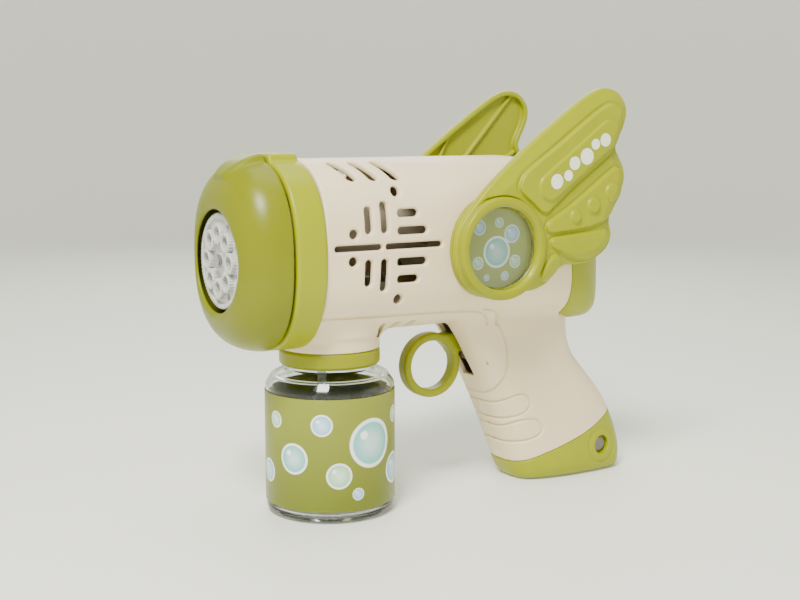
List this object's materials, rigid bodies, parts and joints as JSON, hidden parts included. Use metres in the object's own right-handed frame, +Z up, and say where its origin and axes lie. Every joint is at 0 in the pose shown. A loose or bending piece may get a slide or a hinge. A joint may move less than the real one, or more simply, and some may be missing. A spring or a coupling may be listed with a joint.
{
  "type": "bubble machine",
  "caption": "Hand-held toy bubble blower: vented round barrel with nozzle wheel in the nose, screw-on clear bottle, ring trigger, battery grip and side wings.",
  "frame": {"origin": "centre of the bounding box at ground level, where the bottle and the grip base stand", "axes": "-X the way the barrel blows, +Z up, -Y the toy's left side"},
  "size_m": [0.1886, 0.078, 0.164],
  "materials": {
    "cream": "satin moulded",
    "lime": "satin moulded",
    "lime_deep": "satin moulded",
    "label_print": "printed",
    "clear": "clear plastic window",
    "frosted": "translucent",
    "steel": "bright",
    "inner_cream": "moulded",
    "pcb": "solder mask",
    "led": "clear epoxy",
    "white_nylon": "moulded nylon",
    "motor_can": "plated can",
    "brass": "machined",
    "black_plastic": "moulded",
    "hose": "translucent silicone",
    "seal": "matte",
    "bottle_clear": "clear blown plastic",
    "bottle_print": "printed film",
    "cell": "sleeve",
    "contact": "plated",
    "wire": "insulation"
  },
  "bodies": {
    "gun": {"body_shell_left": "cream", "body_shell_right": "cream", "front_collar": "lime", "nose_cap": "lime", "tail_cap": "lime", "hub_ring_left": "lime_deep", "hub_ring_right": "lime_deep", "bottle_collar": "lime_deep", "hub_label_left": "label_print", "hub_label_right": "label_print", "hub_lens_left": "clear", "hub_lens_right": "clear", "wheel_axle": "steel", "body_screws": "steel", "hub_screws": "steel", "trigger_spring": "steel", "nose_bulkhead": "inner_cream", "drip_tray": "inner_cream", "air_duct": "inner_cream", "fan_housing": "inner_cream", "pump_housing": "inner_cream", "tube_adapter": "inner_cream", "trigger_guide": "inner_cream", "battery_box": "inner_cream", "led_board": "pcb", "leds": "led", "motor": "motor_can", "gearbox_plate_front": "black_plastic", "gearbox_plate_rear": "black_plastic", "switch_bracket": "black_plastic", "micro_switch": "black_plastic", "pump_hose": "hose", "suction_tube": "hose", "neck_seal": "seal", "battery_cells": "cell", "battery_contacts": "contact", "wires": "wire"},
    "wheel": {"bubble_wheel": "frosted"},
    "drive_train": {"drive_shaft": "steel", "drive_gear": "white_nylon", "wheel_pinion": "white_nylon", "pump_rotor": "white_nylon", "pump_rollers": "steel"},
    "idler": {"idler_gear": "white_nylon", "idler_shaft": "steel"},
    "motor_rotor": {"motor_shaft": "steel", "motor_pinion": "brass", "fan_impeller": "white_nylon"},
    "trigger_body": {"trigger": "lime"},
    "bottle_body": {"bottle": "bottle_clear", "bottle_label": "bottle_print"},
    "base_body": {"grip_base": "lime_deep", "base_screw": "steel"},
    "left_wing_body": {"wing_left": "lime"},
    "right_wing_body": {"wing_right": "lime"}
  },
  "joints": [
    {"name": "trigger_pull", "type": "slide", "parent": "gun", "child": "trigger_body", "axis": [1, 0, 0], "range_m": [0, 0.005], "stiffness_N_per_m": 300, "springref_m": -0.003, "deforming": ["trigger_spring"]},
    {"name": "wheel_spin", "type": "hinge", "parent": "gun", "child": "wheel", "pos_m": [-0.0843, 0, 0.1], "axis": [1, 0, 0], "continuous": true},
    {"name": "drive_spin", "type": "hinge", "parent": "gun", "child": "drive_train", "pos_m": [-0.0843, 0, 0.0814], "axis": [1, 0, 0], "continuous": true},
    {"name": "idler_spin", "type": "hinge", "parent": "gun", "child": "idler", "pos_m": [-0.0843, 0, 0.0964], "axis": [1, 0, 0], "continuous": true},
    {"name": "motor_spin", "type": "hinge", "parent": "gun", "child": "motor_rotor", "pos_m": [-0.0843, 0, 0.1108], "axis": [1, 0, 0], "continuous": true},
    {"name": "bottle_off", "type": "slide", "parent": "gun", "child": "bottle_body", "axis": [0, 0, -1], "range_m": [0, 0.07]},
    {"name": "base_off", "type": "slide", "parent": "gun", "child": "base_body", "axis": [0.4384, 0, -0.8988], "range_m": [0, 0.06]},
    {"name": "left_wing_turn", "type": "hinge", "parent": "gun", "child": "left_wing_body", "pos_m": [0.0096, -0.034, 0.1025], "axis": [0, 1, 0], "range_deg": [-15, 15]},
    {"name": "right_wing_turn", "type": "hinge", "parent": "gun", "child": "right_wing_body", "pos_m": [0.0096, 0.034, 0.1025], "axis": [0, 1, 0], "range_deg": [-15, 15]}
  ],
  "couplings": [
    {"joint": "wheel_spin", "follows": "drive_spin", "ratio": -0.24},
    {"joint": "idler_spin", "follows": "drive_spin", "ratio": -3.1667},
    {"joint": "motor_spin", "follows": "drive_spin", "ratio": 9.5}
  ]
}
